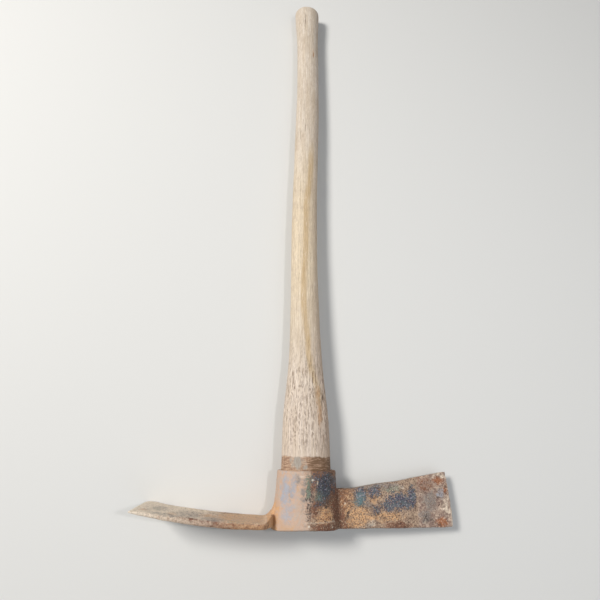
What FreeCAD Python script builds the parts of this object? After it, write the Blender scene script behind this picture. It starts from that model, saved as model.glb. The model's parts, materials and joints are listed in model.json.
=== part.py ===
import FreeCAD, Part
import os
import Sketcher
from FreeCAD import Placement, Rotation, Vector

# A cutter mattock: a forged head with an axe blade and a cross-set adze blade, slipped over a long
# wooden handle. Both pieces are drawn in the tool's own frame and then laid on the ground together.
#
# Tool frame: Y runs along the handle from the outer end of the head's socket to the grip, X points from
# the adze to the axe blade, and Z is across the flats of the axe blade. Millimetres and degrees.

HEAD_SIZES = {
    "socket_length": 72.7,
    "socket_end_width": 87.3,
    "socket_end_depth": 61.0,
    "socket_throat_width": 81.0,
    "socket_throat_depth": 58.0,
    "socket_rim_round": 1.8,
    "end_crown_drop": 3.6,
    "end_crown_half": 32.0,
    "end_crown_round": 69.0,
    "end_land_half": 10.0,
    "end_land_drop": 0.2,
    "end_crown_clear": 10.0,
    "end_crown_reach": 44.0,
    "eye_end_width": 75.3,
    "eye_end_depth": 49.0,
    "eye_throat_width": 68.9,
    "eye_throat_depth": 45.0,
    "cutter_reach": 201.0,
    "cutter_toe_reach": 195.0,
    "cutter_corner_round": 4.0,
    "cutter_heel": 0.4,
    "cutter_root_top": 49.1,
    "cutter_rise_start": 62.0,
    "cutter_rise_round": 700.0,
    "cutter_rise_end": 125.0,
    "cutter_rise_end_top": 58.3,
    "cutter_toe_top": 71.1,
    "cutter_edge_round": 600.0,
    "cutter_root_x": 30.0,
    "cutter_taper_x": 54.0,
    "cutter_corner_x": 197.0,
    "cutter_corner_top": 4.4,
    "cutter_root_half": 5.6,
    "cutter_bevel_x": 153.0,
    "cutter_bevel_half": 2.9,
    "cutter_edge_half": 0.5,
    "cutter_root_fillet": 5.0,
    "adze_reach": 219.4,
    "adze_edge_low": 26.7,
    "adze_edge_high": 28.5,
    "adze_bevel_x": 205.0,
    "adze_bevel_high": 27.6,
    "adze_root_x": 57.0,
    "adze_root_high": 12.3,
    "adze_inner_round": 1250.0,
    "adze_web_x": 43.0,
    "adze_web_top": 26.3,
    "adze_web_round": 14.0,
    "adze_buried_x": 25.0,
    "adze_buried_low": 4.4,
    "adze_outer_round": 700.0,
    "adze_edge_half": 44.0,
    "adze_shoulder_x": 60.0,
    "adze_shoulder_half": 33.0,
    "adze_shoulder_round": 17.0,
    "adze_neck_x": 45.0,
    "adze_neck_half": 9.0,
    "trim_reach": 250.0,
    "trim_half": 70.0,
}

# The handle's oval sections, from the end in the socket to the grip: distance from the socket's outer end,
# width along X, depth along Z, and how far the section stands to the axe blade's side of the tool's axis.
HANDLE_STATIONS = {
    "butt": (3.0, 74.4, 48.2, 0.0),
    "throat": (72.7, 68.3, 44.4, 0.0),
    "collar": (87.0, 67.3, 43.6, 0.0),
    "swell": (110.0, 66.2, 42.4, -0.3),
    "shoulder": (141.0, 64.4, 41.0, -0.6),
    "waist": (171.0, 58.8, 38.8, -0.8),
    "taper": (207.0, 51.6, 36.2, -1.2),
    "lower": (249.0, 46.4, 34.2, -1.8),
    "shank": (319.0, 42.8, 32.4, -3.0),
    "bow": (429.0, 40.9, 31.0, -4.0),
    "middle": (539.0, 40.2, 30.2, -2.4),
    "upper": (649.0, 40.4, 29.8, 0.3),
    "grip": (719.0, 39.2, 29.2, 1.0),
    "neck": (789.0, 38.8, 29.0, 0.6),
    "flare": (838.0, 39.8, 30.6, 0.0),
    "knob": (880.0, 44.2, 36.0, -0.9),
    "grip_end": (903.0, 44.6, 36.6, -1.2),
}
HANDLE_SIZES = {"grip_end_round": 9.0}

# How the tool lies at rest: the adze's lower corner, the underside of the socket and the knob touch the
# ground together.
REST_SIZES = {"rest_roll": 3.595, "rest_pitch": -0.773}


def signed_alias(text):
    """Splits "-alias" into its sign and its alias."""
    return (-1, text[1:]) if text.startswith("-") else (1, text)


def number(text):
    """The value of "alias", "-alias" or "zero" in the dimension tables."""
    sign, alias = signed_alias(text)
    return 0.0 if alias == "zero" else sign * SIZES[alias]


def bound(text):
    """The expression that binds "alias" or "-alias" to its cell in the sheet."""
    sign, alias = signed_alias(text)
    return ("-" if sign < 0 else "") + "Dims." + alias


def handle_sizes():
    """The handle's stations as named cells, such as swell_at, swell_width, swell_depth and swell_shift."""
    sizes = dict(HANDLE_SIZES)
    for station, measures in HANDLE_STATIONS.items():
        for measure, size in zip(("at", "width", "depth", "shift"), measures):
            sizes[station + "_" + measure] = size
    return sizes


SIZES = {**HEAD_SIZES, **handle_sizes(), **REST_SIZES}


def make_sheet(document):
    sheet = document.addObject("Spreadsheet::Sheet", "Dims")
    for row, (alias, size) in enumerate(SIZES.items(), start=1):
        sheet.set("A%d" % row, alias)
        sheet.set("B%d" % row, str(size))
        sheet.setAlias("B%d" % row, alias)
    document.recompute()
    return sheet


def sketch_on(body, name, role, offset=None):
    """A sketch on one of the body's own origin planes, moved along the plane's normal by offset."""
    plane = next(feature for feature in body.Origin.OriginFeatures if feature.Role == role)
    sketch = body.newObject("Sketcher::SketchObject", name)
    sketch.AttachmentSupport = (plane, [""])
    sketch.MapMode = "FlatFace"
    if offset:
        sketch.AttachmentOffset = Placement(Vector(0, 0, number(offset)), Rotation())
        sketch.setExpression("AttachmentOffset.Base.z", bound(offset))
    return sketch


def hold(sketch, kind, elements, text):
    """Adds one sketch constraint whose size follows a cell of the sheet."""
    index = sketch.addConstraint(Sketcher.Constraint(kind, *elements, number(text)))
    name = "c%d" % index
    sketch.renameConstraint(index, name)
    sketch.setExpression("Constraints." + name, bound(text))


def hold_point(sketch, edge, end, x_text, y_text):
    """Fixes one end of an edge at a named place, measured from the sketch's origin."""
    for kind, axis, text in (("DistanceX", -2, x_text), ("DistanceY", -1, y_text)):
        if text == "zero":
            sketch.addConstraint(Sketcher.Constraint("PointOnObject", edge, end, axis))
        else:
            hold(sketch, kind, (-1, 1, edge, end), text)


def arc_between(start, finish, radius, side):
    """The short arc from start to finish that bulges to the left (side 1) or to the right (side -1)."""
    chord = finish - start
    sagitta = radius - (radius ** 2 - (chord.Length / 2) ** 2) ** 0.5
    left = Vector(-chord.y, chord.x, 0).normalize()
    return Part.Arc(start, (start + finish) / 2 + left * sagitta * side, finish)


def draw_outline(sketch, corners):
    """A closed outline. A corner is (x, y) or (x, y, radius, side) where an arc leads to the next corner."""
    places = [Vector(number(corner[0]), number(corner[1]), 0) for corner in corners]
    previous = None
    first = None
    for index, corner in enumerate(corners):
        start = places[index]
        finish = places[(index + 1) % len(corners)]
        if len(corner) == 2:
            edge = sketch.addGeometry(Part.LineSegment(start, finish))
        else:
            edge = sketch.addGeometry(arc_between(start, finish, number(corner[2]), corner[3]))
            hold(sketch, "Radius", (edge,), corner[2])
        starts_at = 1 if sketch.getPoint(edge, 1).distanceToPoint(start) < 1e-6 else 2
        hold_point(sketch, edge, starts_at, corner[0], corner[1])
        if previous:
            sketch.addConstraint(Sketcher.Constraint("Coincident", *previous, edge, starts_at))
        else:
            first = (edge, starts_at)
        previous = (edge, 3 - starts_at)
    sketch.addConstraint(Sketcher.Constraint("Coincident", *previous, *first))


def draw_oval(sketch, width, depth, shift=None):
    """An ellipse, width along the sketch's X and depth along its Y, with its centre on the X axis."""
    centre = Vector(number(shift) if shift else 0, 0, 0)
    oval = sketch.addGeometry(Part.Ellipse(centre, number(width) / 2, number(depth) / 2))
    sketch.exposeInternalGeometry(oval)
    long_line = oval + 1
    short_line = oval + 2
    sketch.addConstraint(Sketcher.Constraint("Horizontal", long_line))
    hold(sketch, "Distance", (long_line,), width)
    hold(sketch, "Distance", (short_line,), depth)
    if shift:
        hold_point(sketch, oval, 3, shift, "zero")
    else:
        sketch.addConstraint(Sketcher.Constraint("Coincident", oval, 3, -1, 1))


def loft(body, kind, name, sketches):
    feature = body.newObject(kind, name)
    feature.Profile = sketches[0]
    feature.Sections = sketches[1:]
    return feature


def symmetric_pad(body, name, sketch, half_thickness_text):
    pad = body.newObject("PartDesign::Pad", name)
    pad.Profile = sketch
    pad.SideType = "Symmetric"
    pad.setExpression("Length", "2 * " + bound(half_thickness_text))
    return pad


def through_pocket(body, name, sketch):
    pocket = body.newObject("PartDesign::Pocket", name)
    pocket.Profile = sketch
    pocket.Type = "ThroughAll"
    pocket.SideType = "Symmetric"
    return pocket


def make_socket(body):
    """The oval sleeve's outside, wider at its outer end than at its throat."""
    outer_end = sketch_on(body, "SocketEnd", "XZ_Plane")
    draw_oval(outer_end, "socket_end_width", "socket_end_depth")
    throat = sketch_on(body, "SocketThroat", "XZ_Plane", "-socket_length")
    draw_oval(throat, "socket_throat_width", "socket_throat_depth")
    return loft(body, "PartDesign::AdditiveLoft", "Socket", [outer_end, throat])


def make_adze(body):
    """The adze blade and the web at its root, curved towards the grip, as wide as its cutting edge."""
    side_view = sketch_on(body, "AdzeSide", "XY_Plane")
    draw_outline(side_view, [
        ("-adze_reach", "adze_edge_low", "adze_outer_round", -1),
        ("-adze_buried_x", "adze_buried_low"),
        ("-adze_buried_x", "adze_web_top"),
        ("-adze_web_x", "adze_web_top", "adze_web_round", 1),
        ("-adze_root_x", "adze_root_high", "adze_inner_round", 1),
        ("-adze_bevel_x", "adze_bevel_high"),
        ("-adze_reach", "adze_edge_high"),
    ])
    return symmetric_pad(body, "Adze", side_view, "adze_edge_half")


def trim_adze(body):
    """Narrows the adze from its edge to its rounded shoulders at the socket, the same on both sides."""
    plan_view = sketch_on(body, "AdzePlan", "XZ_Plane")
    for flip in ("", "-"):
        side = -1 if flip else 1
        draw_outline(plan_view, [
            ("-trim_reach", flip + "trim_half"),
            ("-trim_reach", flip + "adze_edge_half"),
            ("-adze_reach", flip + "adze_edge_half"),
            ("-adze_shoulder_x", flip + "adze_shoulder_half", "adze_shoulder_round", side),
            ("-adze_neck_x", flip + "adze_neck_half"),
            ("-adze_buried_x", flip + "adze_neck_half"),
            ("-adze_buried_x", flip + "trim_half"),
        ])
    return through_pocket(body, "AdzeTrim", plan_view)


def make_cutter(body):
    """The axe blade's outline, flared towards its edge, as thick as its root."""
    side_view = sketch_on(body, "CutterSide", "XY_Plane")
    draw_outline(side_view, [
        ("cutter_root_x", "cutter_heel"),
        ("cutter_corner_x", "cutter_heel", "cutter_corner_round", -1),
        ("cutter_reach", "cutter_corner_top", "cutter_edge_round", -1),
        ("cutter_toe_reach", "cutter_toe_top"),
        ("cutter_rise_end", "cutter_rise_end_top", "cutter_rise_round", -1),
        ("cutter_rise_start", "cutter_root_top"),
        ("cutter_root_x", "cutter_root_top"),
    ])
    return symmetric_pad(body, "Cutter", side_view, "cutter_root_half")


def trim_cutter(body):
    """Tapers the axe blade's thickness from the socket to the bevel and from the bevel to the edge."""
    plan_view = sketch_on(body, "CutterPlan", "XZ_Plane")
    for flip in ("", "-"):
        draw_outline(plan_view, [
            ("cutter_taper_x", flip + "trim_half"),
            ("cutter_taper_x", flip + "cutter_root_half"),
            ("cutter_bevel_x", flip + "cutter_bevel_half"),
            ("cutter_reach", flip + "cutter_edge_half"),
            ("trim_reach", flip + "cutter_edge_half"),
            ("trim_reach", flip + "trim_half"),
        ])
    return through_pocket(body, "CutterTrim", plan_view)


def crown_socket_end(body):
    """Crowns the socket's outer end: its front and back walls fall away from a flat land at each side."""
    end_view = sketch_on(body, "EndCrown", "YZ_Plane")
    draw_outline(end_view, [
        ("-end_crown_clear", "end_crown_half"),
        ("-end_crown_clear", "-end_crown_half"),
        ("end_crown_drop", "-end_crown_half", "end_crown_round", 1),
        ("end_land_drop", "-end_land_half"),
        ("end_land_drop", "end_land_half", "end_crown_round", 1),
        ("end_crown_drop", "end_crown_half"),
    ])
    pocket = body.newObject("PartDesign::Pocket", "Crown")
    pocket.Profile = end_view
    pocket.SideType = "Symmetric"
    pocket.setExpression("Length", "2 * " + bound("end_crown_reach"))
    return pocket


def cut_eye(body):
    """The tapered oval hole through the head."""
    outer_end = sketch_on(body, "EyeEnd", "XZ_Plane")
    draw_oval(outer_end, "eye_end_width", "eye_end_depth")
    throat = sketch_on(body, "EyeThroat", "XZ_Plane", "-socket_length")
    draw_oval(throat, "eye_throat_width", "eye_throat_depth")
    return loft(body, "PartDesign::SubtractiveLoft", "Eye", [outer_end, throat])


def fillet(body, name, base, radius, wanted):
    """Rounds the edges of the base feature that the wanted test picks."""
    body.Document.recompute()
    names = ["Edge%d" % (index + 1) for index, edge in enumerate(base.Shape.Edges) if wanted(edge)]
    feature = body.newObject("PartDesign::Fillet", name)
    feature.Base = (base, names)
    feature.setExpression("Radius", bound(radius))
    body.Tip = feature
    return feature


def is_cutter_corner(edge):
    """True for the upright corners where the axe blade's flats meet the socket's wall."""
    box = edge.BoundBox
    upright = box.YLength > number("cutter_root_top") / 2 and box.ZLength < 1
    return upright and number("cutter_root_x") < box.XMin and box.XMax < number("cutter_taper_x") - 1


def is_rim(edge):
    """True for the socket's outside rim at its throat."""
    box = edge.BoundBox
    return box.YMin > number("socket_length") - 0.1 and box.YLength < 0.1


def make_head(document):
    body = document.addObject("PartDesign::Body", "MattockHead")
    body.Label = "mattock_head"
    make_adze(body)
    trim_adze(body)
    make_socket(body)
    make_cutter(body)
    cutter = trim_cutter(body)
    rooted = fillet(body, "CutterFillet", cutter, "cutter_root_fillet", is_cutter_corner)
    fillet(body, "RimRound", rooted, "socket_rim_round", is_rim)
    crown_socket_end(body)
    cut_eye(body)
    return body


def is_grip_rim(edge):
    """True for the rim of the handle's grip end."""
    return abs(edge.BoundBox.Center.y - number("grip_end_at")) < 0.1


def make_handle(document):
    """The handle: a smooth run of oval sections from the end in the socket to the knobbed grip."""
    body = document.addObject("PartDesign::Body", "Handle")
    body.Label = "handle"
    sections = []
    for station in HANDLE_STATIONS:
        section = sketch_on(body, station.capitalize() + "Section", "XZ_Plane", "-" + station + "_at")
        has_shift = number(station + "_shift") != 0
        shift = station + "_shift" if has_shift else None
        draw_oval(section, station + "_width", station + "_depth", shift)
        sections.append(section)
    taper = loft(body, "PartDesign::AdditiveLoft", "EyeTaper", sections[:2])
    taper.Ruled = True
    shaft = loft(body, "PartDesign::AdditiveLoft", "Shaft", sections[1:])
    fillet(body, "GripRound", shaft, "grip_end_round", is_grip_rim)
    return body


def lay_down(bodies):
    """Turns the tool onto the ground and sets the origin below the middle of its bounding box."""
    turn = Rotation(Vector(1, 0, 0), number("rest_pitch")) * Rotation(Vector(0, 1, 0), number("rest_roll"))
    turned = [body.Shape.transformed(Placement(Vector(), turn).toMatrix(), True) for body in bodies]
    box = Part.makeCompound(turned).optimalBoundingBox(False)
    ground = Vector(-box.Center.x, -box.Center.y, -box.ZMin)
    for body in bodies:
        body.Placement = Placement(ground, turn)


def check(document):
    """Stops the build if any object of the document failed."""
    for thing in document.Objects:
        if {"Invalid", "Error"} & set(thing.State):
            raise SystemExit("failed: %s %s" % (thing.Name, thing.State))


def check_solid(body):
    if body.Shape.isNull() or not body.Shape.isValid() or len(body.Shape.Solids) != 1:
        raise SystemExit("not one sound solid: " + body.Label)


def main():
    document = FreeCAD.newDocument("Mattock")
    make_sheet(document)
    bodies = [make_head(document), make_handle(document)]
    document.recompute()
    check(document)
    lay_down(bodies)
    document.recompute()
    check(document)
    for body in bodies:
        check_solid(body)
    os.makedirs("parts", exist_ok=True)
    for body in bodies:
        body.Shape.exportStep(os.path.join("parts", body.Label + ".step"))
        print(body.Label, body.Placement, "volume", round(body.Shape.Volume))


main()
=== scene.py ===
import json
import math

import bpy
import numpy as np
from mathutils import Matrix, Vector, noise
from mathutils.bvhtree import BVHTree


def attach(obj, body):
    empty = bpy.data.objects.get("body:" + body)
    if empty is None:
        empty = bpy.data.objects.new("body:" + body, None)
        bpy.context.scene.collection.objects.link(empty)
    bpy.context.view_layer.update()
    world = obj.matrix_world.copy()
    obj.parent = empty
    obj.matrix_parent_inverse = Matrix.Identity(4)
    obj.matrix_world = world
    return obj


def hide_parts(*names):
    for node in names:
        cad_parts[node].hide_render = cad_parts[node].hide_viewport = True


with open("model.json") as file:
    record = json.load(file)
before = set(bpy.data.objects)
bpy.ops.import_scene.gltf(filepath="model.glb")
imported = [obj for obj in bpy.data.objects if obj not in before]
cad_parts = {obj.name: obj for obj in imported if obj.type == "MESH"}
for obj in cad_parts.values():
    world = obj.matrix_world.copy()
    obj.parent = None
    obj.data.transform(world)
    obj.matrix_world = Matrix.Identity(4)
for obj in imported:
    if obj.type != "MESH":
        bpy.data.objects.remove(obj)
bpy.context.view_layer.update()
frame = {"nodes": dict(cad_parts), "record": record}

# A weathered cutter mattock lying on a pale studio floor. The head and the handle are each one
# finely meshed piece that stands for its CAD node and is worked out from that node's own shape.
#
# Shapes and patterns are worked out in the tool's own frame, in millimetres: X from the adze to the
# axe blade, Y along the handle from the socket's outer end to the grip, Z across the blade's flats.

MM = 0.001

# Places of the two mounts in the tool's frame, which tie that frame to the row frame.
LAND_MM = (40.6, 0.2)
GRIP_MM = (0.7, 760.0)


def find_tool_frame():
    """The matrix from the tool's frame, in metres, to the row frame."""
    mounts = {mount["name"]: mount for mount in frame["record"]["mounts"]}
    along = Vector(mounts["grip"]["axis"]).normalized()
    land = Vector(mounts["socket_end"]["pos_m"])
    grip = Vector(mounts["grip"]["pos_m"])
    across = (land - grip + along * (GRIP_MM[1] - LAND_MM[1]) * MM).normalized()
    up = across.cross(along)
    origin = land - across * LAND_MM[0] * MM - along * LAND_MM[1] * MM
    turn = Matrix((across, along, up)).transposed().to_4x4()
    return Matrix.Translation(origin) @ turn


TOOL = find_tool_frame()
TO_TOOL_MM = Matrix.Scale(1 / MM, 4) @ TOOL.inverted()
TO_ROW = TOOL @ Matrix.Scale(MM, 4)


# ---------------------------------------------------------------- camera, light and floor

CAMERA_PLACE = (-0.01425, -0.32884, 0.66418)
CAMERA_TURN = (16.874, -1.476, 0.490)
LENS_MM = 26.0
SENSOR_MM = 36.0


def make_camera():
    """A phone's wide lens, held over the tool and tilted a little towards the grip."""
    data = bpy.data.cameras.new("camera")
    data.lens = LENS_MM
    data.sensor_width = SENSOR_MM
    data.clip_start = 0.01
    camera = bpy.data.objects.new("camera", data)
    camera.location = CAMERA_PLACE
    camera.rotation_euler = [math.radians(angle) for angle in CAMERA_TURN]
    bpy.context.scene.collection.objects.link(camera)
    bpy.context.scene.camera = camera


def make_lamp(name, place, aim, size, power, colour=(1.0, 1.0, 1.0)):
    """A square soft box at place, turned to face aim."""
    data = bpy.data.lights.new(name, "AREA")
    data.shape = "SQUARE"
    data.size = size
    data.energy = power
    data.color = colour
    lamp = bpy.data.objects.new(name, data)
    lamp.location = place
    lamp.rotation_euler = (Vector(aim) - Vector(place)).to_track_quat("-Z", "Y").to_euler()
    bpy.context.scene.collection.objects.link(lamp)


def make_surroundings():
    world = bpy.data.worlds.new("studio")
    world.use_nodes = True
    world.node_tree.nodes["Background"].inputs["Color"].default_value = (0.93, 0.96, 1.0, 1.0)
    world.node_tree.nodes["Background"].inputs["Strength"].default_value = 0.24
    bpy.context.scene.world = world
    bpy.context.scene.view_settings.view_transform = "Standard"
    make_lamp("key", (-1.6, 0.60, 2.1), (0.0, -0.05, 0.0), 0.7, 68.0, (1.0, 0.97, 0.92))
    make_lamp("fill", (0.9, -0.7, 1.6), (0.0, -0.1, 0.0), 1.4, 5.5, (0.92, 0.96, 1.0))
    make_lamp("spark", (0.46, -0.22, 1.27), (0.02, -0.39, 0.06), 0.05, 3.0)


def make_floor():
    half = 4.0
    mesh = bpy.data.meshes.new("floor")
    corners = [(-half, -half, 0), (half, -half, 0), (half, half, 0), (-half, half, 0)]
    mesh.from_pydata(corners, [], [(0, 1, 2, 3)])
    floor = bpy.data.objects.new("floor", mesh)
    bpy.context.scene.collection.objects.link(floor)
    paper = bpy.data.materials.new("floor_paper")
    paper.use_nodes = True
    shader = paper.node_tree.nodes["Principled BSDF"]
    shader.inputs["Base Color"].default_value = (0.66, 0.66, 0.65, 1.0)
    shader.inputs["Roughness"].default_value = 0.85
    mesh.materials.append(paper)


# ---------------------------------------------------------------- node materials

def srgb(red, green, blue):
    """A screen colour from 0 to 255 as the linear colour that a shader takes."""
    def linear(value):
        value = value / 255
        return value / 12.92 if value <= 0.04045 else ((value + 0.055) / 1.055) ** 2.4
    return (linear(red), linear(green), linear(blue), 1.0)


class Finish:
    """One node material. Each method adds a node and returns its output, or takes one as an input."""

    def __init__(self, name):
        self.material = bpy.data.materials.new(name)
        self.material.use_nodes = True
        self.tree = self.material.node_tree
        self.shader = self.tree.nodes["Principled BSDF"]
        self.place = self.tool_place()

    def node(self, kind, **settings):
        node = self.tree.nodes.new(kind)
        for name, value in settings.items():
            setattr(node, name, value)
        return node

    def put(self, socket, value):
        if isinstance(value, bpy.types.NodeSocket):
            self.tree.links.new(value, socket)
        else:
            socket.default_value = value

    def tool_place(self):
        """The point's place in the tool's frame, in millimetres. It moves with the piece."""
        place = self.node("ShaderNodeTexCoord").outputs["Object"]
        mapping = self.node("ShaderNodeMapping")
        self.put(mapping.inputs["Vector"], place)
        mapping.inputs["Scale"].default_value = (1 / MM, 1 / MM, 1 / MM)
        mapping.inputs["Rotation"].default_value = TOOL.inverted().to_euler()
        mapping.inputs["Location"].default_value = TO_TOOL_MM.to_translation()
        return mapping.outputs["Vector"]

    def field(self, name):
        """A mask that the mesh carries, from 0 to 1 at each of its points."""
        return self.node("ShaderNodeAttribute", attribute_name=name).outputs["Fac"]

    def speckle(self, across, along, detail=3.0, roughness=0.55, shift=0.0):
        """Noise about across mm wide and along mm long, mostly from 0.3 to 0.7."""
        mapping = self.node("ShaderNodeMapping")
        self.put(mapping.inputs["Vector"], self.place)
        mapping.inputs["Scale"].default_value = (1 / across, 1 / along, 1 / across)
        mapping.inputs["Location"].default_value = (shift, shift * 0.7, -shift)
        texture = self.node("ShaderNodeTexNoise")
        self.put(texture.inputs["Vector"], mapping.outputs["Vector"])
        texture.inputs["Scale"].default_value = 1.0
        texture.inputs["Detail"].default_value = detail
        texture.inputs["Roughness"].default_value = roughness
        return texture.outputs[0]

    def math(self, operation, first, second=0.0, clamp=False):
        node = self.node("ShaderNodeMath", operation=operation, use_clamp=clamp)
        self.put(node.inputs[0], first)
        self.put(node.inputs[1], second)
        return node.outputs[0]

    def rise(self, value, low, high, bottom=0.0, top=1.0):
        """Goes smoothly from bottom to top as value goes from low to high."""
        node = self.node("ShaderNodeMapRange", interpolation_type="SMOOTHSTEP")
        for socket, number in zip(node.inputs, (value, low, high, bottom, top)):
            self.put(socket, number)
        return node.outputs[0]

    def mix(self, share, first, second, kind="MIX"):
        """Colour from first to second as share goes from 0 to 1."""
        node = self.node("ShaderNodeMix", data_type="RGBA", blend_type=kind)
        self.put(node.inputs[0], share)
        self.put(node.inputs[6], first)
        self.put(node.inputs[7], second)
        return node.outputs[2]

    def over(self, mask, speckles, gain, first, second, soft):
        """second over first where the mask, broken up by the speckles, is high."""
        return self.mix(self.ragged(mask, speckles, gain, soft), first, second)

    def ragged(self, mask, speckles, gain, soft):
        """The mask with its edge broken up by the speckles; it stays 0 where the mask is 0."""
        swing = self.math("MULTIPLY", self.math("SUBTRACT", speckles, 0.5), gain)
        height = self.math("ADD", mask, swing)
        edge = self.rise(height, 0.5 - soft, 0.5 + soft)
        return self.math("MULTIPLY", edge, self.rise(mask, 0.0, 0.3))

    def uneven(self, colour, speckles, strength):
        """The colour made darker and lighter by the speckles."""
        factor = self.math("ADD", self.math("MULTIPLY", speckles, strength), 1 - strength / 2)
        return self.mix(1.0, colour, factor, "MULTIPLY")

    def growth_rings(self, width, turn):
        """Growth rings as wavy layers, width mm apart, that stand at an angle across the section."""
        mapping = self.node("ShaderNodeMapping")
        self.put(mapping.inputs["Vector"], self.place)
        mapping.inputs["Rotation"].default_value = (0.0, math.radians(turn), 0.0)
        split = self.node("ShaderNodeSeparateXYZ")
        self.put(split.inputs[0], mapping.outputs["Vector"])
        wander = self.math("MULTIPLY", self.speckle(18.0, 150.0, detail=2.0, shift=41.0), 26.0)
        layers = self.math("MULTIPLY", split.outputs["X"], 2 * math.pi / width)
        layers = self.math("ADD", layers, wander)
        return self.math("ADD", self.math("MULTIPLY", self.math("SINE", layers), 0.5), 0.5)

    def bump(self, height, distance):
        node = self.node("ShaderNodeBump")
        node.inputs["Distance"].default_value = distance
        self.put(node.inputs["Height"], height)
        return node.outputs[0]

    def finish(self, colour, roughness, normal):
        self.put(self.shader.inputs["Base Color"], colour)
        self.put(self.shader.inputs["Roughness"], roughness)
        self.put(self.shader.inputs["Normal"], normal)
        return self.material


def bare_wood(wood, pores, fibres, smudges, rings):
    """The wood's colour: yellower at mid length, pinker near the head, darker on the right side with
    brown tan and painted shade.
    """
    streaks = wood.speckle(2.6, 110.0, detail=3.0, shift=7.7)
    tone = wood.speckle(14.0, 70.0, detail=3.0, shift=11.0)
    colour = wood.mix(wood.rise(tone, 0.35, 0.65), srgb(200, 187, 171), srgb(213, 202, 189))
    colour = wood.mix(wood.field("warm"), colour, srgb(228, 210, 178))
    colour = wood.mix(wood.field("pink"), colour, srgb(216, 200, 186))
    colour = wood.mix(wood.rise(streaks, 0.42, 0.62, 0.0, 0.40), colour, srgb(196, 177, 152))
    colour = wood.mix(wood.math("MULTIPLY", rings, 0.15), colour, srgb(184, 160, 130))
    colour = wood.mix(wood.rise(smudges, 0.50, 0.68, 0.0, 0.35), colour, srgb(180, 160, 140))
    # Painted shade with some brown tan: the upper half's right side and right edge darker, as if turned
    # from the lamp.
    colour = wood.mix(wood.field("tan_and_shade"), colour, srgb(186, 160, 138))
    colour = wood.over(wood.field("streak"), streaks, 0.9, colour, srgb(194, 168, 130), 0.45)
    colour = wood.mix(wood.rise(fibres, 0.50, 0.70, 0.0, 0.42), colour, srgb(152, 131, 110))
    colour = wood.mix(wood.rise(fibres, 0.30, 0.46, 0.42, 0.0), colour, srgb(244, 235, 221))
    return wood.mix(wood.rise(pores, 0.54, 0.68, 0.0, 0.45), colour, srgb(132, 110, 92))


def short_checks(wood):
    """Masks for the short dark checks along the grain, and for the raised pale fibres between them."""
    lines = wood.speckle(0.60, 60.0, detail=2.0, roughness=0.5, shift=19.0)
    breaks = wood.speckle(1.8, 5.0, detail=2.0, roughness=0.5, shift=27.0)
    where = wood.field("checks")
    dark = wood.math("MULTIPLY", wood.rise(lines, 0.48, 0.60), wood.rise(breaks, 0.40, 0.56))
    pale = wood.rise(lines, 0.38, 0.50, 1.0, 0.0)
    return wood.math("MULTIPLY", dark, where), wood.math("MULTIPLY", pale, where)


def rust_stained_wood(wood, pores, fibres, smudges):
    """The band that the eye has stained, in thin layers round the handle, grey on one side."""
    layers = wood.speckle(8.0, 1.1, detail=4.0, shift=23.0)
    stain = wood.mix(wood.rise(layers, 0.38, 0.62), srgb(200, 168, 142), srgb(146, 114, 92))
    stain = wood.mix(wood.rise(fibres, 0.45, 0.65, 0.0, 0.45), stain, srgb(120, 92, 70))
    stain = wood.over(wood.field("grey_stain"), smudges, 2.2, stain, srgb(164, 156, 146), 0.45)
    stain = wood.over(wood.field("brown_stain"), layers, 2.4, stain, srgb(112, 84, 60), 0.45)
    return wood.mix(wood.rise(pores, 0.50, 0.62, 0.0, 0.4), stain, srgb(98, 74, 54))


def end_grain(wood, rings, smudges):
    colour = wood.mix(wood.rise(rings, 0.1, 0.9), srgb(178, 160, 138), srgb(150, 130, 108))
    return wood.mix(wood.rise(smudges, 0.44, 0.62, 0.0, 0.6), colour, srgb(120, 98, 78))


def weathered_wood():
    """Grey-beige hardwood with open grain, checked near the head and stained where the eye sat."""
    wood = Finish("weathered_hardwood")
    pores = wood.speckle(0.50, 9.0, detail=3.0, roughness=0.6)
    fibres = wood.speckle(1.0, 20.0, detail=5.0, roughness=0.62, shift=2.0)
    smudges = wood.speckle(5.0, 12.0, detail=3.0, shift=31.0)
    rings = wood.growth_rings(2.7, 38.0)
    colour = bare_wood(wood, pores, fibres, smudges, rings)
    dark, pale = short_checks(wood)
    colour = wood.mix(wood.math("MULTIPLY", dark, 0.75), colour, srgb(120, 98, 84))
    colour = wood.mix(wood.math("MULTIPLY", pale, 0.35), colour, srgb(242, 228, 214))
    stain = rust_stained_wood(wood, pores, fibres, smudges)
    colour = wood.over(wood.field("rust_band"), smudges, 0.9, colour, stain, 0.35)
    colour = wood.over(wood.field("orange"), pores, 3.0, colour, srgb(186, 146, 110), 0.6)
    colour = wood.mix(wood.field("end"), colour, end_grain(wood, rings, smudges))
    colour = wood.mix(wood.field("crack"), colour, srgb(92, 72, 58))
    colour = wood.uneven(colour, pores, 0.30)
    height = wood.math("MULTIPLY", wood.math("ADD", fibres, pores), -0.7)
    height = wood.math("SUBTRACT", height, wood.math("MULTIPLY", dark, 0.6))
    return wood.finish(colour, wood.rise(fibres, 0.3, 0.7, 0.62, 0.86), wood.bump(height, 0.00030))


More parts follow.
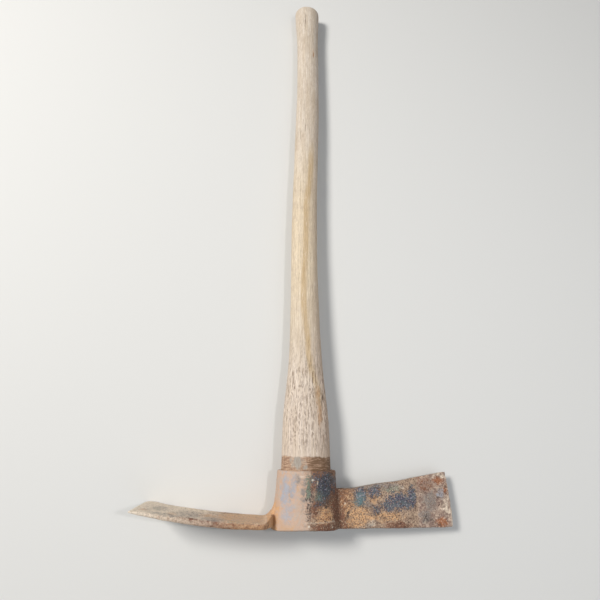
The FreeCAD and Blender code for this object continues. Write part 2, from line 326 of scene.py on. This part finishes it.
def rust_coats(steel, chips, flakes, spots, clouds):
    """The steel's coats of rust, each over the last where its mask says, from brown to dark scale; on
    the socket, the brown and pale coats are partly painted shade and light.
    """
    colour = steel.mix(steel.rise(clouds, 0.38, 0.62), srgb(146, 122, 104), srgb(178, 152, 130))
    # Brown rust; on the socket's right half it is partly painted shade.
    colour = steel.over(steel.field("brown"), spots, 1.6, colour, srgb(126, 86, 60), 0.45)
    ground = steel.mix(steel.rise(spots, 0.38, 0.62), srgb(138, 114, 104), srgb(196, 172, 154))
    colour = steel.over(steel.field("bevel"), clouds, 1.4, colour, ground, 0.45)
    pinks = steel.mix(steel.rise(spots, 0.36, 0.64), srgb(200, 168, 146), srgb(184, 166, 152))
    # Pale pinks: rust, and on the socket's left half partly painted light, as if that side faced the
    # lamp.
    colour = steel.over(steel.field("light"), clouds, 0.9, colour, pinks, 0.45)
    colour = steel.over(steel.field("beige"), spots, 2.2, colour, srgb(228, 212, 192), 0.45)
    colour = steel.over(steel.field("orange"), spots, 2.6, colour, srgb(202, 158, 116), 0.45)
    colour = steel.over(steel.field("grey"), spots, 2.6, colour, srgb(138, 128, 122), 0.45)
    colour = steel.over(steel.field("blue_grey"), spots, 2.0, colour, srgb(162, 164, 174), 0.55)
    colour = steel.over(steel.field("rust"), chips, 3.0, colour, srgb(160, 96, 56), 0.35)
    colour = steel.over(steel.field("red"), spots, 2.6, colour, srgb(118, 76, 56), 0.45)
    colour = steel.over(steel.field("dark"), chips, 3.0, colour, srgb(66, 58, 56), 0.35)
    return steel.over(steel.field("green"), flakes, 3.0, colour, srgb(100, 116, 102), 0.35)


def old_paint(steel, grit, chips, spots):
    """Dark blue paint: greener in places, nearly black where it is glossy, and chalky in its chips."""
    colour = steel.mix(steel.rise(spots, 0.42, 0.58), srgb(52, 58, 88), srgb(78, 94, 102))
    colour = steel.mix(steel.field("teal"), colour, srgb(92, 122, 128))
    colour = steel.mix(steel.math("MULTIPLY", steel.field("gloss"), 0.55), colour, srgb(42, 48, 54))
    colour = steel.mix(steel.rise(grit, 0.46, 0.62, 0.0, 0.6), colour, srgb(34, 38, 50))
    return steel.mix(steel.rise(chips, 0.36, 0.48, 0.7, 0.0), colour, srgb(156, 154, 166))


def rusted_steel():
    """Old rust in light and dark coats over forged steel, with what is left of dark blue paint; some of
    the light and dark is painted light and shade.
    """
    steel = Finish("rusted_painted_steel")
    grit = steel.speckle(1.0, 1.0, detail=5.0, roughness=0.7)
    chips = steel.speckle(1.9, 1.9, detail=4.0, roughness=0.62, shift=6.0)
    flakes = steel.speckle(1.6, 1.6, detail=3.0, roughness=0.6, shift=14.0)
    spots = steel.speckle(5.0, 5.0, detail=4.0, roughness=0.62, shift=4.0)
    clouds = steel.speckle(12.0, 12.0, detail=5.0, roughness=0.62, shift=9.0)
    colour = rust_coats(steel, chips, flakes, spots, clouds)
    smooth = steel.math("MULTIPLY", steel.field("bevel"), 0.45)
    smooth = steel.math("MAXIMUM", smooth, steel.field("light"))
    rough_skin = steel.math("SUBTRACT", 1.0, steel.math("MULTIPLY", smooth, 0.95), True)
    brown_specks = steel.math("MULTIPLY", steel.rise(chips, 0.48, 0.60, 0.0, 0.85), rough_skin)
    colour = steel.mix(brown_specks, colour, srgb(88, 64, 50))
    pale_specks = steel.math("MULTIPLY", steel.rise(flakes, 0.53, 0.66, 0.0, 0.50), rough_skin)
    colour = steel.mix(pale_specks, colour, srgb(214, 192, 162))
    breaks = steel.math("MULTIPLY", flakes, 0.7)
    breaks = steel.math("ADD", breaks, steel.math("MULTIPLY", spots, 0.3))
    painted = steel.ragged(steel.field("paint"), breaks, 4.4, 0.14)
    paint = old_paint(steel, grit, chips, spots)
    colour = steel.mix(steel.math("MULTIPLY", painted, 0.90), colour, paint)
    colour = steel.mix(rough_skin, colour, steel.uneven(colour, grit, 1.4))
    colour = steel.uneven(colour, spots, 0.35)
    colour = steel.mix(steel.field("pit"), colour, srgb(66, 50, 42))
    # Near-white bare metal, and two painted highlights on the socket's glossy paint.
    colour = steel.mix(steel.field("bare_and_highlights"), colour, srgb(226, 216, 200))
    rough = steel.rise(grit, 0.3, 0.7, 0.55, 0.82)
    rough = steel.math("SUBTRACT", rough, steel.math("MULTIPLY", steel.field("gloss"), 0.42))
    height = steel.math("MULTIPLY", grit, -0.6)
    height = steel.math("ADD", height, steel.math("MULTIPLY", chips, -0.9))
    height = steel.math("ADD", height, steel.math("MULTIPLY", painted, 0.3))
    return steel.finish(colour, rough, steel.bump(height, 0.00060))


# ---------------------------------------------------------------- shapes

def smoothstep(value, low, high):
    share = np.clip((value - low) / (high - low), 0.0, 1.0)
    return share * share * (3 - 2 * share)


def bell(value, centre, half):
    """1 at the centre, falling smoothly to 0 at half away."""
    return 1 - smoothstep(np.abs(value - centre), 0.0, half)


def waves(points, size, octaves, seed):
    """Smooth noise from about -1 to 1 at each point; size is one length, or one for each axis."""
    scaled = points / np.array(size) + seed * 17.3
    return np.array([noise.fractal(Vector(p), 1.0, 2.0, octaves) for p in scaled])


def tool_mesh(node):
    """The CAD node's points, in tool millimetres, and its faces."""
    mesh = frame["nodes"][node].data
    points = np.array([TO_TOOL_MM @ vertex.co for vertex in mesh.vertices])
    return points, [tuple(polygon.vertices) for polygon in mesh.polygons]


def make_piece(name, points, faces, masks, finish, body, node):
    """Makes the piece that stands for a CAD node: points in tool millimetres, a mask for each point."""
    mesh = bpy.data.meshes.new(name)
    mesh.from_pydata([TO_ROW @ Vector(p) for p in points], [], faces)
    mesh.polygons.foreach_set("use_smooth", [True] * len(mesh.polygons))
    for mask, values in masks.items():
        attribute = mesh.attributes.new(mask, "FLOAT", "POINT")
        attribute.data.foreach_set("value", np.clip(values, 0, 1).astype(np.float32))
    mesh.materials.append(finish)
    piece = bpy.data.objects.new(name, mesh)
    bpy.context.scene.collection.objects.link(piece)
    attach(piece, body)
    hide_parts(node)


# ---------------------------------------------------------------- handle

BUTT_Y = 3.0
GRIP_END_Y = 903.0
EYE_LENGTH = 72.7
GRIP_ROUND = 9.0
RING_STEP = 1.6
RING_POINTS = 144
CAP_SHARES = (0.82, 0.62, 0.42, 0.22)
GRIP_DOME = 0.9


def handle_profile():
    """The handle's half width, half depth and sideways shift against Y, read off the CAD node."""
    tree = BVHTree.FromPolygons(*tool_mesh("handle"))

    def reach(y, direction):
        return (tree.ray_cast(Vector((0, y, 0)), Vector(direction))[0]).dot(Vector(direction))

    at = np.arange(BUTT_Y + 0.5, GRIP_END_Y - GRIP_ROUND, 4.0)
    right = np.array([reach(y, (1, 0, 0)) for y in at])
    left = np.array([reach(y, (-1, 0, 0)) for y in at])
    front = np.array([reach(y, (0, 0, 1)) for y in at])
    return at, (right + left) / 2, front, (right - left) / 2


def ring_stations():
    """Where the rings stand along the handle, and how far each is drawn in to round the two ends."""
    body = np.arange(BUTT_Y + 1.0, GRIP_END_Y - GRIP_ROUND, RING_STEP)
    turn = np.linspace(0.0, math.pi / 2, 14)
    grip_y = GRIP_END_Y - GRIP_ROUND + GRIP_ROUND * np.sin(turn)
    grip_inset = GRIP_ROUND * (1 - np.cos(turn))
    stations = [(BUTT_Y, 1.0)] + [(y, 0.0) for y in body] + list(zip(grip_y, grip_inset))
    return np.array(stations)


def handle_rings():
    """The handle's cross sections from the butt's middle to the grip's, each a ring of points."""
    at, half_width, half_depth, shift = handle_profile()
    angles = np.arange(RING_POINTS) * 2 * math.pi / RING_POINTS
    rings = []
    for y, inset in ring_stations():
        wide = (np.interp(y, at, half_width) - inset) * np.cos(angles)
        deep = (np.interp(y, at, half_depth) - inset) * np.sin(angles)
        rings.append(np.column_stack([np.interp(y, at, shift) + wide, np.full(RING_POINTS, y), deep]))
    butt_caps = [cap_ring(rings[0], share, 0.0) for share in reversed(CAP_SHARES)]
    grip_caps = [cap_ring(rings[-1], share, GRIP_DOME) for share in CAP_SHARES]
    return butt_caps + rings + grip_caps


def cap_ring(ring, share, dome):
    """A smaller ring inside an end ring, which stands out as part of a dome."""
    middle = ring.mean(0)
    return middle + (ring - middle) * share + np.array([0, dome * (1 - share ** 2), 0])


def tube_faces(ring_count):
    """Faces that join each ring to the next, and fans that close the two ends on two middle points."""
    faces = []
    butt_middle = ring_count * RING_POINTS
    last_base = (ring_count - 1) * RING_POINTS
    for base in range(0, last_base, RING_POINTS):
        following = base + RING_POINTS
        for step in range(RING_POINTS):
            after = (step + 1) % RING_POINTS
            faces.append((base + step, following + step, following + after, base + after))
    for step in range(RING_POINTS):
        after = (step + 1) % RING_POINTS
        faces.append((butt_middle, step, after))
        faces.append((butt_middle + 1, last_base + after, last_base + step))
    return faces


def make_handle():
    rings = handle_rings()
    points = np.vstack(rings + [rings[0].mean(0), rings[-1].mean(0)])
    faces = tube_faces(len(rings))
    masks = handle_masks(points)
    points = carved_handle(points, masks)
    make_piece("handle_wood", points, faces, masks, weathered_wood(), "handle", "handle")


# Where the wood's marks lie: X, Y, half width, half length, strength.
HANDLE_MARKS = {
    "crack": [(-5.5, 864.0, 0.9, 24.0, 0.7), (9.5, 786.0, 0.9, 9.0, 0.7),
              (-4.5, 622.0, 0.8, 12.0, 0.7), (-12.2, 612.0, 0.8, 14.0, 0.6),
              (-11.4, 183.5, 2.0, 2.6, 0.6), (23.0, 169.0, 1.2, 7.0, 0.9)],
    "orange": [(15.0, 172.0, 6.0, 22.0, 0.6), (17.5, 146.0, 5.5, 28.0, 0.7),
               (9.5, 790.0, 2.5, 18.0, 0.8)],
    "grey_stain": [(-13.0, 83.0, 15.0, 14.0, 1.0), (-4.0, 77.0, 7.0, 5.0, 0.9)],
}


def front_marks(points, marks, edge=0.35, front_only=True):
    """The strongest oval mark at each point, on the front half of the tool or all through it."""
    total = np.zeros(len(points))
    for x, y, half_x, half_y, strength in marks:
        far = np.hypot((points[:, 0] - x) / half_x, (points[:, 1] - y) / half_y)
        total = np.maximum(total, strength * (1 - smoothstep(far, edge, 1.0)))
    return total * (points[:, 2] > 0) if front_only else total


def checked(y):
    """How open the wood's checks are along the handle: most of all just above the stained band."""
    return smoothstep(y, 80, 110) * (1 - smoothstep(y, 185, 300))


def brown_streak(points):
    """A mask for the brown streak that wanders up the handle."""
    x, y = points[:, :2].T
    middle = np.interp(y, (150, 176, 205, 270, 305, 350, 405, 475, 545, 600),
                       (18.0, 15.0, 5.0, -2.5, -4.5, -5.5, -3.5, -1.0, 4.8, 6.5))
    wander = waves(points * (0, 1, 0), (9, 60, 9), 2, 4) * 3
    return bell(x + wander, middle, 9.5) * smoothstep(y, 110, 180) * (1 - smoothstep(y, 540, 640))


def handle_masks(points):
    """How much of each mark the handle has at each point."""
    x, y, z = points.T
    # Painted shade with some brown tan, on the upper half only: darker across the right side, most at
    # the right edge.
    across = x / np.interp(y, (0, 141, 249, 903), (37, 32, 23, 21))
    tan_and_shade = smoothstep(across, 0.0, 0.9) * (1 - smoothstep(y, 420, 800)) * 0.55
    tan_and_shade += smoothstep(across, 0.7, 1.0) * 0.45
    band = y + waves(points, (14, 5, 14), 2, 6) * 2.5
    return {
        "warm": bell(y, 400, 260) * 0.7,
        "pink": 1 - smoothstep(y, 130, 300),
        "streak": brown_streak(points) * 0.85,
        "tan_and_shade": tan_and_shade * (z > 0),
        "checks": np.maximum(checked(y), 0.22),
        "rust_band": 1 - smoothstep(band, 87.0, 94.0),
        "grey_stain": front_marks(points, HANDLE_MARKS["grey_stain"], 0.1),
        "brown_stain": smoothstep(x, -6, 8) * 0.75,
        "crack": front_marks(points, HANDLE_MARKS["crack"]),
        "orange": front_marks(points, HANDLE_MARKS["orange"], 0.1),
        "end": ((y > GRIP_END_Y - 0.8) | (y < BUTT_Y + 0.3)).astype(float),
    }


def carved_handle(points, masks):
    """The handle's points, moved for dents, open grain, checks and cracks, but not inside the eye."""
    y = points[:, 1]
    outward = points * (1, 0, 1)
    outward /= np.maximum(np.linalg.norm(outward, axis=1), 1e-6)[:, None]
    swell = waves(points, (22, 60, 22), 2, 1) * 0.35
    grain = waves(points, (3.0, 60, 3.0), 2, 2)
    open_checks = np.maximum(0, waves(points, (2.8, 34, 2.8), 2, 3) - 0.28)
    depth = swell - np.maximum(0, grain) * 0.16 - open_checks * (0.9 * checked(y) + 0.25)
    depth -= masks["crack"] * 0.7
    depth -= masks["rust_band"] * 0.25
    free = smoothstep(y, EYE_LENGTH + 1, EYE_LENGTH + 7)
    free *= 1 - smoothstep(y, GRIP_END_Y - 4, GRIP_END_Y)
    depth = depth * free - 0.05
    return points + outward * depth[:, None]


# ---------------------------------------------------------------- head

VOXEL = 1.0

# Rounds of relaxing that make the skin's edges crisp, and that wear them away.
CRISP_ROUNDS = 3
WORN_ROUNDS = 22

# The rounding of the adze edge's two corners: the lower one, and the upper one that the camera sees.
LOWER_CORNER_ROUND = 9.0
UPPER_CORNER_ROUND = 2.5

# An oval in the middle of the socket's wall at its outer end: half X, half Z.
MID_WALL = (41.0, 27.5)

# The eye's half width and half depth, at its outer end and at the handle's side.
EYE_HALF_WIDTHS = (37.6, 34.4)
EYE_HALF_DEPTHS = (24.5, 22.5)

# How far out along X the cutter's bevel starts, and the paint ends.
BEVEL_X = 152.0


def on_eye_side(points):
    """Whether each point is nearer to the eye than the middle of the socket's wall is."""
    return np.hypot(points[:, 0] / MID_WALL[0], points[:, 2] / MID_WALL[1]) < 1


def skin_of(points, faces):
    """An even skin of quads over a closed mesh in tool millimetres."""
    mesh = bpy.data.meshes.new("solid")
    mesh.from_pydata([tuple(p) for p in points], [], faces)
    piece = bpy.data.objects.new("solid", mesh)
    bpy.context.scene.collection.objects.link(piece)
    remesh = piece.modifiers.new("skin", "REMESH")
    remesh.mode = "VOXEL"
    remesh.voxel_size = VOXEL
    bpy.context.view_layer.update()
    result = bpy.data.meshes.new_from_object(piece.evaluated_get(bpy.context.evaluated_depsgraph_get()))
    skin = np.array([vertex.co for vertex in result.vertices])
    skin_faces = [tuple(polygon.vertices) for polygon in result.polygons]
    edges = np.array([tuple(edge.vertices) for edge in result.edges])
    bpy.data.objects.remove(piece)
    return skin, skin_faces, edges


def relaxed(points, edges, rounds):
    """The points, each drawn to the middle of its neighbours, over and over."""
    first, second = edges.T
    count = len(points)
    share = np.bincount(first, minlength=count) + np.bincount(second, minlength=count)
    for _ in range(rounds):
        total = np.zeros_like(points)
        for axis in range(3):
            total[:, axis] = (np.bincount(first, points[second, axis], count)
                              + np.bincount(second, points[first, axis], count))
        points = points * 0.5 + total / share[:, None] * 0.5
    return points


def worn_skin():
    """The head's skin, with its edges worn most on the adze and least at the cutting edges."""
    solid, solid_faces = tool_mesh("mattock_head")
    skin, faces, edges = skin_of(solid, solid_faces)
    tree = BVHTree.FromPolygons([tuple(p) for p in solid], solid_faces)
    soft = relaxed(skin, edges, CRISP_ROUNDS)
    crisp = np.array([tree.find_nearest(Vector(p))[0] for p in soft])
    worn = relaxed(skin, edges, WORN_ROUNDS)
    x, y = skin[:, :2].T
    adze = smoothstep(-x, 40, 50) * (1 - smoothstep(-x, 190, 212))
    rim = (np.abs(x) < 46) * (1 - smoothstep(y, 3, 8)) * ~on_eye_side(skin) * 0.6
    wear = np.maximum(np.maximum(adze, rim), 0.12)[:, None]
    points = crisp * (1 - wear) + worn * wear
    x, y, z = points.T
    x += (solid[:, 0].min() - x.min()) * smoothstep(-x, 200, 216)
    x += (solid[:, 0].max() - x.max()) * smoothstep(x, 185, 199)
    radius = np.where(z < 0, LOWER_CORNER_ROUND, UPPER_CORNER_ROUND)
    corner = np.clip((np.abs(z) - solid[:, 2].max()) / radius + 1, 0, 1)
    x += radius * (1 - np.sqrt(1 - corner ** 2)) * smoothstep(-x, 190, 214)
    return points, faces


def point_normals(points, faces):
    mesh = bpy.data.meshes.new("scratch")
    mesh.from_pydata([tuple(p) for p in points], [], faces)
    normals = np.array([vertex.normal for vertex in mesh.vertices])
    bpy.data.meshes.remove(mesh)
    return normals


# Where the head's coats of rust and paint lie on its upper side, as ovals: X, Y, half width, half
# length, strength.
HEAD_MARKS = {
    "paint": [(74, 39, 15, 19, 0.85), (93, 45, 14, 12, 0.75), (128, 33, 32, 19, 0.85),
              (146, 38, 10, 22, 0.9), (112, 28, 16, 14, 0.7), (22, 56, 19, 26, 0.8),
              (96, 24, 12, 9, 0.6), (36, 56, 8, 18, 0.6), (10, 62, 12, 12, 0.6),
              (14, 36, 14, 14, 0.4)],
    "teal": [(72, 34, 14, 16, 1.0), (14, 44, 10, 10, 0.6)],
    "green": [(0, 52, 4.5, 18, 0.9), (14, 42, 12, 11, 0.7), (2, 64, 10, 9, 0.55),
              (72, 32, 14, 10, 0.6), (118, 48, 20, 7, 0.6)],
    "orange": [(70, 15, 30, 20, 0.85), (22, 20, 22, 16, 0.75), (108, 14, 34, 12, 0.7),
               (93, 36, 12, 9, 0.7), (-14, 52, 5, 9, 0.6), (-22, 44, 6, 6, 0.6),
               (56, 30, 14, 30, 0.45), (-30, 8, 22, 16, 0.4)],
    "rust": [(184, 59, 12, 7, 0.8), (194, 48, 5, 9, 0.85), (186, 7, 15, 9, 0.8),
             (24, 18, 16, 14, 0.45), (120, 4, 28, 8, 0.5), (50, 32, 10, 26, 0.35),
             (158, 60, 12, 10, 0.4), (30, 48, 10, 10, 0.5)],
    "red": [(125, 3, 28, 10, 0.85), (22, 5, 26, 9, 1.0), (38, 30, 9, 40, 0.95),
            (165, 54, 20, 16, 0.45), (47, 10, 8, 14, 0.7), (10, 28, 12, 18, 0.7),
            (3, 56, 8, 16, 0.7)],
    "grey": [(164, 14, 14, 14, 0.9), (171, 33, 17, 20, 0.8), (187, 42, 10, 11, 0.6),
             (84, 4, 10, 6, 0.6), (84, 30, 12, 10, 0.6), (100, 52, 46, 8, 0.7),
             (-21, 50, 8, 22, 0.4), (-12, 60, 16, 12, 0.45), (-5, 45, 8, 24, 0.6)],
    "blue_grey": [(-30, 48, 9, 34, 0.75), (-19, 52, 9, 22, 0.55), (-26, 24, 12, 24, 0.5),
                  (187, 42, 8, 8, 0.6)],
    "dark": [(24, 29, 3.0, 3.0, 1.0), (1, 24, 7, 18, 0.5), (2, 42, 8, 20, 0.6), (55, 17, 4, 9, 0.7),
             (28, 62, 14, 14, 0.85), (194, 50, 4, 6, 0.7), (164, 13, 8, 8, 0.6),
             (20, 46, 20, 30, 0.75)],
    "beige": [(193, 26, 9, 24, 0.5), (188, 66, 18, 9, 0.55), (118, 50, 26, 7, 0.5),
              (88, 7, 10, 8, 0.6)],
}

# Single pits, bare spots and painted highlights on the same side, each exactly in its place. In the
# bare list, the spots at (6, 62) and (12.5, 58.5) are painted highlights: glints on the glossy paint.
HEAD_SPOTS = {
    "pit": [(24.2, 29.0, 2.0, 2.0, 1.0), (2.5, 28.7, 1.4, 1.4, 1.0), (0.0, 15.0, 1.4, 1.2, 1.0),
            (56.4, 20.0, 1.4, 3.0, 1.0), (54.4, 16.2, 1.4, 2.8, 1.0), (52.6, 13.0, 1.2, 2.2, 0.9)],
    "bare_and_highlights": [(1.2, 7.9, 1.6, 1.6, 1.0), (32.0, 5.4, 1.2, 1.2, 0.8), (52.4, 31.0, 1.4, 1.4, 0.9),
             (6.0, 62.0, 2.2, 2.0, 0.8), (12.5, 58.5, 1.2, 3.5, 0.6), (-8.0, 66.0, 5.0, 1.6, 0.45)],
}

# Coats on the adze's inner face, from side to side: X, Z, half width, half length, strength.
ADZE_MARKS = {
    "grey": [(-190, -4, 16, 26, 0.55), (-202, 14, 8, 16, 0.35), (-150, 10, 30, 40, 0.5),
             (-120, 30, 24, 26, 0.6), (-176, 34, 30, 14, 0.5)],
    "green": [(-192, 2, 12, 18, 0.35), (-92, 34, 20, 14, 0.3)],
    "orange": [(-207, 22, 7, 11, 0.8), (-170, 22, 10, 18, 0.5), (-128, 6, 22, 18, 0.5),
               (-95, 0, 34, 60, 0.7)],
    "red": [(-146, 38, 24, 8, 0.6), (-104, 40, 16, 8, 0.6), (-100, -30, 30, 14, 0.4),
            (-66, 34, 12, 14, 0.4)],
}


def on_adze(x):
    return smoothstep(-x, 42, 50)


def on_socket(x):
    return (1 - on_adze(x)) * (x < 43)


def adze_face(points, normals):
    """A mask for the adze's inner face, which looks towards the grip."""
    return smoothstep(normals[:, 1], 0.2, 0.6) * (points[:, 0] < -50)


def adze_flank(points, normals):
    """A mask for the adze's narrow upper side."""
    return on_adze(points[:, 0]) * smoothstep(np.abs(normals[:, 2]), 0.35, 0.75) * (points[:, 2] > 0)


def placed_masks(points, moved, normals):
    """The coats and spots that the tables place; moved are the points with a ragged wander added."""
    masks = {name: front_marks(moved, marks, 0.25) for name, marks in HEAD_MARKS.items()}
    for name, marks in ADZE_MARKS.items():
        mark = front_marks(moved[:, [0, 2, 1]], marks, 0.25, False)
        masks[name] = np.maximum(masks[name], mark * adze_face(points, normals))
    for name, marks in HEAD_SPOTS.items():
        masks[name] = front_marks(points, marks, 0.3)
    return masks


def add_paint(masks, points, normals, ragged_x):
    """Adds patches of paint on the lower side, and ends all the paint where the bevel starts."""
    lower = smoothstep(-normals[:, 2], 0.0, 0.3)
    patches = smoothstep(waves(points, (30, 24, 30), 3, 33), -0.10, 0.45) * lower
    masks["paint"] = np.maximum(masks["paint"], patches * (np.abs(points[:, 0] - 60) < 95) * 0.9)
    masks["paint"] *= 1 - smoothstep(ragged_x, BEVEL_X - 1, BEVEL_X + 1)


def add_rust(masks, points, normals, ragged_x):
    """Adds the broad coats: brown on the socket's right, light on its left, beige along the adze. The
    socket's brown right half is partly painted shade, and its light left half is partly painted light.
    """
    x, y = points[:, :2].T
    adze = on_adze(x)
    socket = on_socket(x)
    flank = adze_flank(points, normals)
    # 0 on the socket's left half, 1 on its right: places painted light on the left and painted shade on
    # the right, mixed with rust.
    right = smoothstep(ragged_x, -13, 15)
    scaled = socket * right * (0.6 + 0.4 * smoothstep(y, 20, 34))
    masks["brown"] = np.maximum(bell(x, 50, 26), scaled) * 0.95
    masks["bevel"] = smoothstep(x, BEVEL_X - 2, BEVEL_X + 4) * 0.9
    masks["light"] = np.clip(socket * (1 - right) + adze * 0.5, 0, 1)
    masks["beige"] = np.maximum(masks["beige"], adze * smoothstep(-x, 60, 170) * 0.95)
    masks["beige"] *= 1 - flank * 0.3
    root = adze * (1 - smoothstep(-x, 70, 140)) + bell(x, -44, 18) * (1 - smoothstep(y, 22, 46))
    masks["orange"] = np.maximum(masks["orange"], np.clip(root, 0, 1) * 0.9)
    lower = smoothstep(-normals[:, 2], 0.0, 0.3)
    masks["red"] = np.maximum(masks["red"], lower * smoothstep(waves(points, 26, 3, 34), 0.0, 0.5) * 0.8)
    masks["red"] = np.maximum(masks["red"], flank * 0.46 * (1 - smoothstep(-x, 120, 200) * 0.8))


def add_bare_metal(masks, points, normals):
    """Adds the metal worn bright at the cutting edges and on the adze's inner face, and a pale line
    along the socket's lip.
    """
    x, y, z = points.T
    tip = np.maximum(smoothstep(-x, 214, 219),
                     adze_flank(points, normals) * smoothstep(-x, 180, 215) * 0.6)
    inner = on_adze(x) * adze_face(points, normals) * (1 - bell(x, -135, 75))
    edge = smoothstep(x, 198.0, 200.5)
    lip = bell(y, 11.9, 1.0) * smoothstep(x, -6, 2) * (1 - smoothstep(x, 34, 38))
    lip *= on_socket(x) * (z > 0)
    for place, strength in ((tip, 0.8), (inner, 0.2), (edge, 0.45), (lip, 0.35)):
        masks["bare_and_highlights"] = np.maximum(masks["bare_and_highlights"], place * strength)


def add_gloss_and_pits(masks, points):
    """Adds the gloss of the socket's paint, and pits in groups wherever the steel isn't smooth."""
    x, y = points[:, :2].T
    gloss = (masks["paint"] + masks["dark"]) * smoothstep(y, 25, 50) * on_socket(x)
    masks["gloss"] = np.clip(gloss, 0, 1)
    pits = smoothstep(waves(points, 2.8, 2, 40), 0.36, 0.60)
    pits *= smoothstep(waves(points, 18, 2, 41), -0.25, 0.25)
    masks["pit"] = np.maximum(masks["pit"], pits * 0.8 * (1 - masks["light"]))


def head_masks(points, normals):
    """How much of each coat the head has at each point."""
    wander = np.column_stack([waves(points, 8, 3, 30), waves(points, 8, 3, 31), np.zeros(len(points))])
    moved = points + wander * 2.5
    masks = placed_masks(points, moved, normals)
    add_paint(masks, points, normals, points[:, 0] + wander[:, 0] * 0.8)
    add_rust(masks, points, normals, moved[:, 0] + wander[:, 0] * 4)
    add_bare_metal(masks, points, normals)
    add_gloss_and_pits(masks, points)
    return masks


def head_depth(points, normals, masks):
    """How far each point of the head moves along its normal: forging marks, scale, pits and a lip."""
    x, y = points[:, :2].T
    depth = waves(points, 26, 2, 50) * 0.38
    depth += waves(points, 7, 3, 51) * 0.22
    depth += waves(points, 2.6, 2, 52) * 0.16
    depth -= masks["pit"] * 0.45
    depth += masks["paint"] * 0.05
    socket = (np.abs(x) < 46) * (np.abs(normals[:, 1]) < 0.7)
    depth += socket * (1 - smoothstep(y, 10.8, 12.2)) * smoothstep(x, -8, 2) * 0.55
    depth[on_eye_side(points) & (np.abs(normals[:, 1]) < 0.9)] = 0.05
    return depth


def wall_lean(points):
    """How far the socket's wall on the adze side moves along X: in at its rim, out at its end."""
    x, y, z = points.T
    lean = np.interp(y, (0, 20, 34, 50, 73), (-2.6, -2.0, 0.0, 1.2, 1.5))
    wall = smoothstep(-x, 24, 38) * (1 - smoothstep(-x, 46, 58))
    eye_half_width = np.interp(y, (0, EYE_LENGTH), EYE_HALF_WIDTHS)
    eye_half_depth = np.interp(y, (0, EYE_LENGTH), EYE_HALF_DEPTHS)
    outside = smoothstep(np.hypot(x / eye_half_width, z / eye_half_depth), 1.02, 1.13)
    return lean * wall * outside


def make_head():
    points, faces = worn_skin()
    normals = point_normals(points, faces)
    masks = head_masks(points, normals)
    points = points + normals * head_depth(points, normals, masks)[:, None]
    points[:, 0] += wall_lean(points)
    make_piece("head_steel", points, faces, masks, rusted_steel(), "head", "mattock_head")


# ---------------------------------------------------------------- the scene

make_camera()
make_surroundings()
make_floor()
make_handle()
make_head()
